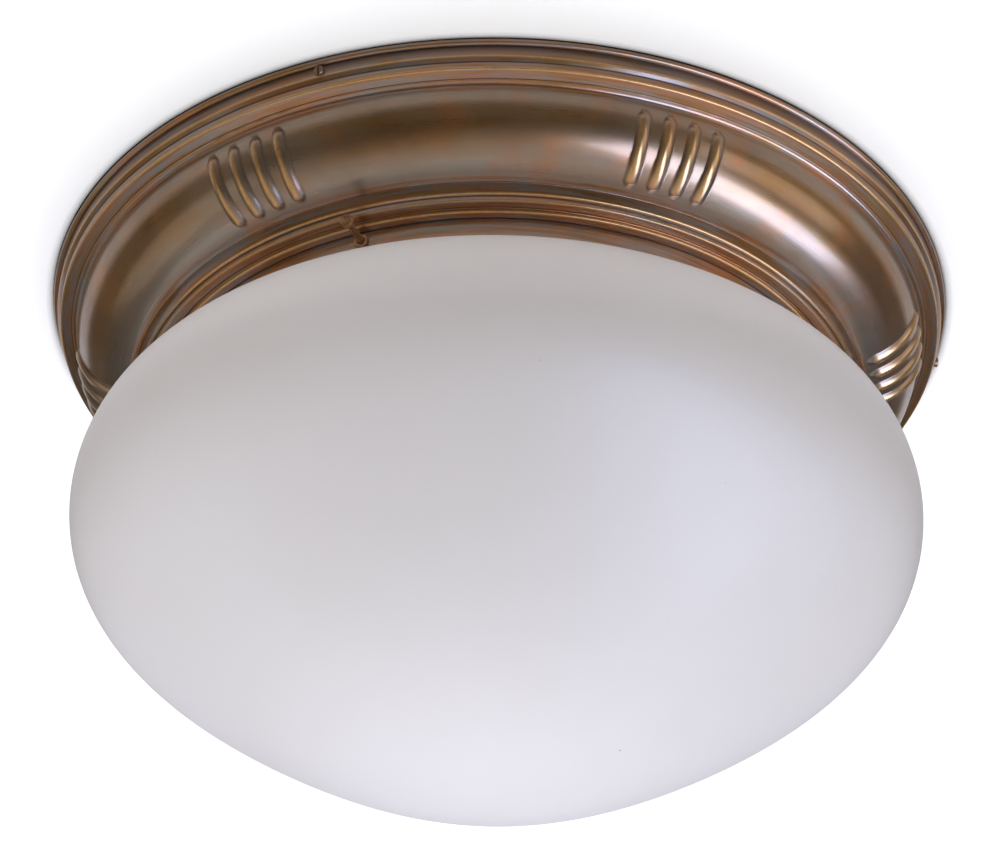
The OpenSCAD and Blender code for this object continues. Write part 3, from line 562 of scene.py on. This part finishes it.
# Worn carries rubbed edges and the ribs' gold, part of it a painted highlight; the shade mark is painted
# shade; the pale mark is painted light.
marks = {"worn": np.maximum(all_along(rows[:, 2]), rib_wear_and_highlight),
         "hollow": np.maximum(all_along(rows[:, 3]), foot_shade_mark * 0.6),
         "painted_light": painted_light_mark, "band": band_mark}
for label, values in marks.items():
    attribute = canopy.data.attributes.new(label, "FLOAT", "POINT")
    attribute.data.foreach_set("value", values.astype(np.float32).ravel())


# RIM SCREWS
# Three small slotted screws of aged brass through the rim wall into the plate's turned-down rim.
# They hold the canopy up. Each has a cheese head with a worn edge and a narrow slot.
def turned(outline, sides=48):
    """Points and faces of an outline (r, along) turned about its own axis; a radius of 0 closes it."""
    points, faces = [], []
    angles = [2 * math.pi * k / sides for k in range(sides)]
    before = None
    for r, along in outline:
        if r < 1e-6:
            ring = [len(points)]
            points.append((0.0, 0.0, along))
        else:
            ring = list(range(len(points), len(points) + sides))
            points += [(r * math.cos(a), r * math.sin(a), along) for a in angles]
        if before is not None:
            for k in range(sides):
                corner = [before[k % len(before)], before[(k + 1) % len(before)],
                          ring[(k + 1) % len(ring)], ring[k % len(ring)]]
                faces.append(list(dict.fromkeys(corner)))
        before = ring
    return np.array(points), faces


def outward(points, angle, z):
    """Turns points made along an axis so that this axis runs outward at an angle from the front."""
    points = np.asarray(points, float)
    a = math.radians(angle)
    direction = np.array([math.sin(a), -math.cos(a), 0])
    across = np.array([math.cos(a), math.sin(a), 0])
    up = np.array([0, 0, 1.0])
    return points[:, :1] * across + points[:, 1:2] * up + points[:, 2:] * direction + np.array([0, 0, z])


def joined(parts):
    """One set of points and faces from several."""
    points, faces = [], []
    for more_points, more_faces in parts:
        start = sum(len(p) for p in points)
        points.append(np.asarray(more_points, float))
        faces += [[start + i for i in face] for face in more_faces]
    return np.concatenate(points), faces


def at_screws(z, *forms):
    """The same forms at each of the three screw places round the light, as one set."""
    return joined([(outward(points, angle, z), faces)
                   for angle in SCREW_ANGLES for points, faces in forms])


RIM_SCREW_Z, RIM_HOLE_R = -5.95, 1.5
HEAD_R, HEAD_FACE, HEAD_SEAT = 2.15, 200.0, 198.1
head = [(0, HEAD_SEAT), (HEAD_R - 0.1, HEAD_SEAT), (HEAD_R, HEAD_SEAT + 0.1), (HEAD_R, HEAD_FACE - 0.5),
        (HEAD_R - 0.12, HEAD_FACE - 0.2), (HEAD_R - 0.45, HEAD_FACE - 0.03), (HEAD_R - 0.9, HEAD_FACE),
        (0, HEAD_FACE)]
shank = [(0, 192.3), (0.9, 192.3), (1.25, 192.8), (1.25, HEAD_SEAT + 0.2), (0, HEAD_SEAT + 0.2)]


def aged_brass(name, colour, rubbed, size, roughness):
    """Brass gone brown, rubbed brighter in patches, with a fine sooty grain."""
    finish, tree, shader = new_finish(name, Metallic=0.85)
    patch = effect(tree, UNEVEN, Size=size, Detail=5, Low=0.4, High=0.7)["Mask"]
    soot = effect(tree, UNEVEN, Size=0.7, Detail=5, Low=0.35, High=0.8)["Mask"]
    tone = blend(tree, patch, colour, rubbed)
    dark = [c * 0.5 for c in colour]
    look = blend(tree, soot, tone, dark)
    satin = between(tree, soot, roughness, roughness + 0.2)
    feed(tree, shader, look, satin, bump(tree, soot, 0.02, 0.6))
    return finish


def block(across, up, along):
    """Points and faces of a box, from its spans across, up and along an outward axis."""
    points = [(x, y, z) for x in across for y in up for z in along]
    ends = [[0, 1, 3, 2], [4, 6, 7, 5]]
    sides = [[0, 4, 5, 1], [2, 3, 7, 6], [0, 2, 6, 4], [1, 5, 7, 3]]
    return np.array(points), ends + sides


rim_finish = aged_brass("rim_screw_brass", (0.34, 0.24, 0.16), (0.60, 0.42, 0.24), 2.5, 0.3)
rim_screws = new_piece("rim_screw_set", *at_screws(RIM_SCREW_Z, turned(head, 36), turned(shank, 36)),
                       rim_finish, "ceiling_body", "rim_screws")
head_slot = block((-0.32, 0.32), (-3, 3), (HEAD_FACE - 1.1, HEAD_FACE + 1))
carve(rim_screws, *at_screws(RIM_SCREW_Z, head_slot))
rim_hole = turned([(0, 195), (RIM_HOLE_R, 195), (RIM_HOLE_R, 199.5), (0, 199.5)], 32)


# GALLERY BUSHES
# Threaded brass bushes riveted into the lowest gallery wall, each with a thin round collar outside.
# The thumb screws run in them, so their faces are rubbed bright round the hole.
bush_finish = aged_brass("bush_worn_brass", (0.66, 0.37, 0.19), (0.90, 0.56, 0.28), 2.0, 0.28)
THUMB_Z, BUSH_HOLE_R = -62.97, 2.6
collar = [(1.55, 148.72), (2.3, 148.72), (2.5, 148.9), (2.5, 150.45), (3.1, 150.45), (3.2, 150.55),
          (3.2, 151.35), (3.0, 151.62), (2.6, 151.7), (2.0, 151.7), (1.75, 151.55), (1.55, 151.35)]
collar.append(collar[0])
bush_hole = turned([(0, 147), (BUSH_HOLE_R, 147), (BUSH_HOLE_R, 152), (0, 152)], 48)
carve(canopy, *joined([at_screws(RIM_SCREW_Z, rim_hole), at_screws(THUMB_Z, bush_hole)]))
bushes = new_piece("gallery_bush_set", *at_screws(THUMB_Z, turned(collar, 48)), bush_finish,
                   "ceiling_body", "gallery_bushes")


# GLASS BOWL
# Mould-blown opal glass, satin all over: a short neck with a rolled lip for the thumb screws, a
# soft shoulder, and a flattened globe below. The satin has a few dark specks and pinholes in it.
NECK_R, LIP_Z, SHOULDER_Z, WIDE_Z, BOWL_Z = 143.6, -42.0, -77.3, -115.5, -239.5
BOWL_R, GLASS, BEND_R, SHOULDER_R = 187.3, 3.5, 7.3, 153.6
SHOULDER_W, SHOULDER_H, BELLY_H = BOWL_R - SHOULDER_R, SHOULDER_Z - WIDE_Z, WIDE_Z - BOWL_Z
neck = [(NECK_R, z) for z in (-47.3, -55, -63)]
neck += [(NECK_R + BEND_R + BEND_R * math.cos(a), SHOULDER_Z + BEND_R + BEND_R * math.sin(a))
         for a in np.radians(np.linspace(180, 262, 9))]
shoulder = [(SHOULDER_R + SHOULDER_W * math.cos(a), WIDE_Z + SHOULDER_H * math.sin(a))
            for a in np.radians(np.linspace(86, 0, 26))]
pulls = np.array([(BOWL_R, WIDE_Z), (BOWL_R, WIDE_Z - 46.4), (0.71 * BOWL_R, WIDE_Z - 0.43 * BELLY_H),
                  (96, BOWL_Z), (0, BOWL_Z)])
belly = []
for t in np.linspace(0, 1, 61)[1:]:
    shares = [math.comb(4, k) * t**k * (1 - t) ** (4 - k) for k in range(5)]
    belly.append(tuple(shares @ pulls))
outside = neck + shoulder + belly
within = [tuple(p) for p in offset(outside, GLASS)]
within[-1] = (0.0, BOWL_Z + GLASS)
lip = [(NECK_R + 1.6, LIP_Z - 5.05), (NECK_R + 2.15, LIP_Z - 4.6), (NECK_R + 2.4, LIP_Z - 3.8),
       (NECK_R + 2.4, LIP_Z - 1.4), (NECK_R + 2.0, LIP_Z - 0.5), (NECK_R + 1.2, LIP_Z),
       (NECK_R - GLASS + 0.8, LIP_Z), (NECK_R - GLASS + 0.1, LIP_Z - 0.6)]
outline = within[::-1] + lip[::-1] + outside
points, faces = turned(outline, 192)

finish, tree, shader = new_finish("opal_satin_glass", IOR=1.5, Specular_IOR_Level=0.5)
milk = effect(tree, UNEVEN, Size=90, Detail=2, Low=0.3, High=0.7)["Mask"]
fog = effect(tree, UNEVEN, Size=0.6, Detail=3, Low=0.25, High=0.75)["Mask"]
place = put(tree, "TexCoord").outputs["Object"]
cells = put(tree, "TexVoronoi", {"Vector": place, "Scale": 1 / (17 * MM)}, feature="F1")
middle = cells.outputs["Distance"]
dot = rising(tree, middle, 0.028, 0.016)
chance = put(tree, "SeparateColor", {"Color": cells.outputs["Color"]}).outputs[0]
few = maths(tree, "GREATER_THAN", chance, 0.86)
speck = maths(tree, "MULTIPLY", dot, few)
opal = blend(tree, milk, (0.86, 0.82, 0.80), (0.88, 0.845, 0.83))
look = blend(tree, speck, opal, (0.30, 0.27, 0.25))
feed(tree, shader, look, between(tree, fog, 0.40, 0.50), bump(tree, fog, 0.006, 0.4))
bowl = new_piece("opal_bowl", points, faces, finish, "glass", "glass_bowl")


# THUMB SCREWS
# Three M3 screws of browned brass with small round heads. They run in the bushes and their tips
# press on the glass neck under its lip. The heads are turned with a shallow dish in the face.
TIP, THREAD_R, CORE_R, PITCH = 143.9, 1.5, 1.27, 0.5
FACE = 167.2
thumb_head = [(0, FACE - 2.4), (2.75, FACE - 2.4), (3.0, FACE - 2.3), (3.1, FACE - 2.1),
              (3.1, FACE - 0.6), (3.0, FACE - 0.3), (2.75, FACE - 0.08), (2.4, FACE),
              (2.1, FACE - 0.08), (1.7, FACE - 0.3), (1.0, FACE - 0.42), (0, FACE - 0.46)]
core = [(0, TIP), (0.7, TIP), (1.15, TIP + 0.35), (CORE_R, TIP + 0.6), (CORE_R, FACE - 2.3),
        (0, FACE - 2.3)]


def thread(from_z, to_z, sides=20):
    """A helical ridge round the core, from one end to the other."""
    count = int((to_z - from_z) / PITCH * sides)
    root = CORE_R - 0.05
    points, faces = [], []
    for k in range(count + 1):
        a = 2 * math.pi * k / sides
        z = from_z + PITCH * k / sides
        fade = min(1.0, k / sides, (count - k) / sides)
        crest = root + (THREAD_R - root) * fade
        for r, dz in ((root, -0.22), (crest, -0.04), (crest, 0.04), (root, 0.22)):
            points.append((r * math.cos(a), r * math.sin(a), z + dz))
        if k:
            faces += [[4 * k - 4 + i, 4 * k - 3 + i, 4 * k + 1 + i, 4 * k + i] for i in range(3)]
            faces.append([4 * k - 1, 4 * k - 4, 4 * k, 4 * k + 3])
    faces += [[3, 2, 1, 0], [4 * count, 4 * count + 1, 4 * count + 2, 4 * count + 3]]
    return np.array(points), faces


thumb_finish = aged_brass("thumb_screw_brass", (0.44, 0.215, 0.10), (0.80, 0.46, 0.21), 3.0, 0.30)
for number, (angle, side) in enumerate(zip(SCREW_ANGLES, ("front", "right", "left")), 1):
    parts = [turned(thumb_head, 48), turned(core, 32), thread(TIP + 0.7, FACE - 2.6)]
    parts = [(outward(points, angle, THUMB_Z), faces) for points, faces in parts]
    screw = new_piece(f"thumb_screw_{side}", *joined(parts), thumb_finish, f"screw_{side}",
                      f"thumb_screw_{number}")


# STUDIO
# A white ceiling that shows only from below and keeps the light's soft shadow, deepened close to the
# object by a painted shadow, a pale floor that shows only from above, soft lamps all round and below,
# and the camera below looking up. The metal mirrors cards of its own: a window at the right, a weak
# card at each side, and one overhead for what is seen from above.
def one_sided(name, height, colour, glow, mirrored, pool):
    """A big stage plane, seen only from the side it faces. The camera sees it nearly white, less where
    the lamps are shut off, with a painted shadow from ambient occlusion close to the object and a
    painted dark line where the object meets it. Mirrored is how light it looks in the metal, inside the
    pool of light and outside it; pool is where, in metres from the middle, this light fades."""
    half = 9.0
    mesh = bpy.data.meshes.new(name)
    order = (0, 1, 2, 3) if height < -1 else (3, 2, 1, 0)
    corners = [(x * half, y * half, height) for x, y in ((-1, -1), (1, -1), (1, 1), (-1, 1))]
    mesh.from_pydata(corners, [], [order])
    plane = bpy.data.objects.new(name, mesh)
    bpy.context.scene.collection.objects.link(plane)
    material = bpy.data.materials.new(name + "_paint")
    material.use_nodes = True
    tree = material.node_tree
    tree.nodes.clear()
    path = put(tree, "LightPath").outputs
    place = put(tree, "TexCoord").outputs["Object"]
    flat = put(tree, "VectorMath", {0: place, 1: (1, 1, 0)}, operation="MULTIPLY").outputs[0]
    away = put(tree, "VectorMath", {0: flat}, operation="LENGTH").outputs["Value"]
    far = rising(tree, away, pool[0], pool[1])
    tone = blend(tree, path["Is Glossy Ray"], colour, blend(tree, far, *mirrored))
    plain = put(tree, "BsdfDiffuse", {"Color": tone}).outputs[0]
    # Painted shadow: ambient occlusion dims the glow close to the object, and where the object meets the
    # plane the paint goes black as a painted dark line.
    open_air = put(tree, "AmbientOcclusion", {"Distance": 0.05}, samples=6).outputs["AO"]
    contact_occlusion = put(tree, "AmbientOcclusion", {"Distance": 0.004}, samples=6).outputs["AO"]
    clear_of_contact_shadow = rising(tree, contact_occlusion, 0.5, 0.98)
    light = maths(tree, "MULTIPLY", open_air, clear_of_contact_shadow)
    strength = maths(tree, "MULTIPLY", light, glow)
    paint = put(tree, "BsdfDiffuse", {"Color": (*colour, 1)}).outputs[0]
    shut = put(tree, "MixShader", {0: clear_of_contact_shadow, 2: paint}).outputs[0]
    lamp_glow = put(tree, "Emission", {"Strength": strength}).outputs[0]
    seen = put(tree, "AddShader", {0: shut, 1: lamp_glow}).outputs[0]
    lit = put(tree, "MixShader", {0: path["Is Camera Ray"], 1: plain, 2: seen}).outputs[0]
    back = put(tree, "NewGeometry").outputs["Backfacing"]
    hidden = maths(tree, "MAXIMUM", back, path["Is Shadow Ray"])
    clear = put(tree, "BsdfTransparent").outputs[0]
    choice = put(tree, "MixShader", {0: hidden, 1: lit, 2: clear}).outputs[0]
    tree.links.new(choice, put(tree, "OutputMaterial").inputs["Surface"])
    mesh.materials.append(material)


one_sided("ceiling", -0.0002, (0.84, 0.84, 0.84), 0.54,
          ((0.58, 0.57, 0.56), (0.08, 0.07, 0.06)), (0.26, 0.36))
one_sided("floor", -1.9, (0.80, 0.80, 0.80), 0.5,
          ((0.74, 0.72, 0.70), (0.16, 0.155, 0.15)), (1.3, 3.2))

PITCH_UP, ROUND_ABOUT, TILT = math.radians(34.959), math.radians(23.1), math.radians(0.808)
DISTANCE, LENS = 2.8, 226.94
AIM, LIT = Vector((0, 0, -0.059)), Vector((0, 0, -0.1))


def soft_lamp(name, angle, below, distance, size, strength, colour, mirrored=False):
    """A wide area lamp at an angle round from the camera and an angle below the ceiling. Its strength
    is how bright its own face is, where 1 is white. A mirrored one is a card that only gloss shows."""
    data = bpy.data.lights.new(name, "AREA")
    data.shape = "RECTANGLE"
    data.size, data.size_y = size
    data.energy = strength * math.pi * size[0] * size[1]
    data.color = colour
    a, e = math.radians(angle) + ROUND_ABOUT, math.radians(below)
    place = Vector((math.sin(a) * math.cos(e), -math.cos(a) * math.cos(e), -math.sin(e))) * distance
    lamp = bpy.data.objects.new(name, data)
    lamp.location = place
    lamp.rotation_mode = "QUATERNION"
    lamp.rotation_quaternion = (LIT - place).to_track_quat("-Z", "Y")
    lamp.visible_diffuse = not mirrored
    lamp.visible_glossy = mirrored
    bpy.context.scene.collection.objects.link(lamp)


soft_lamp("window", 71, 46, 1.9, (2.3, 0.7), 3.8, (0.76, 0.93, 1.45), True)
soft_lamp("right_card", 70, 10, 2.3, (1.8, 0.9), 0.9, (1.0, 0.92, 0.83), True)
soft_lamp("left_card", -95, 30, 2.1, (2.0, 0.9), 0.34, (1.0, 0.95, 0.89), True)
soft_lamp("overhead_card", 0, -80, 2.0, (3.0, 3.0), 0.6, (1.0, 1.0, 1.0), True)
soft_lamp("right_fill", 70, 40, 1.9, (1.4, 0.9), 1.1, (1.0, 0.97, 1.0))
soft_lamp("left_fill", -80, 18, 2.2, (1.7, 1.5), 0.9, (1.0, 0.96, 0.89))
soft_lamp("below", 0, 88, 1.85, (1.1, 1.1), 1.5, (0.93, 0.99, 1.12))
soft_lamp("below_behind", 180, 62, 1.9, (1.8, 1.2), 2.8, (0.95, 1.0, 1.17))
soft_lamp("from_above", 0, -38, 2.3, (3.0, 1.2), 1.1, (1.0, 0.93, 0.84))

world = bpy.data.worlds.new("studio_air")
bpy.context.scene.world = world
world.use_nodes = True
tree = world.node_tree
tree.nodes.clear()
path = put(tree, "LightPath").outputs
shade = blend(tree, path["Is Glossy Ray"], (0.42, 0.38, 0.33), (0.09, 0.08, 0.07))
colour = blend(tree, path["Is Camera Ray"], shade, (1, 1, 1))
air = put(tree, "Background", {"Color": colour, "Strength": 1.0}).outputs[0]
tree.links.new(air, put(tree, "OutputWorld").inputs["Surface"])

ahead = Vector((-math.sin(ROUND_ABOUT) * math.cos(PITCH_UP), math.cos(ROUND_ABOUT) * math.cos(PITCH_UP),
                math.sin(PITCH_UP)))
right = Vector((math.cos(ROUND_ABOUT), math.sin(ROUND_ABOUT), 0))
up = right.cross(ahead)
lens = bpy.data.cameras.new("camera")
lens.sensor_width = 36
lens.lens = LENS
lens.clip_end = 40
camera = bpy.data.objects.new("camera", lens)
bpy.context.scene.collection.objects.link(camera)
where = AIM - DISTANCE * ahead + 0.001 * right
turn = Matrix((right, up, -ahead)).transposed().to_4x4()
camera.matrix_world = Matrix.Translation(where) @ turn @ Matrix.Rotation(TILT, 4, "Z")
bpy.context.scene.camera = camera
bpy.context.scene.view_settings.view_transform = "Standard"
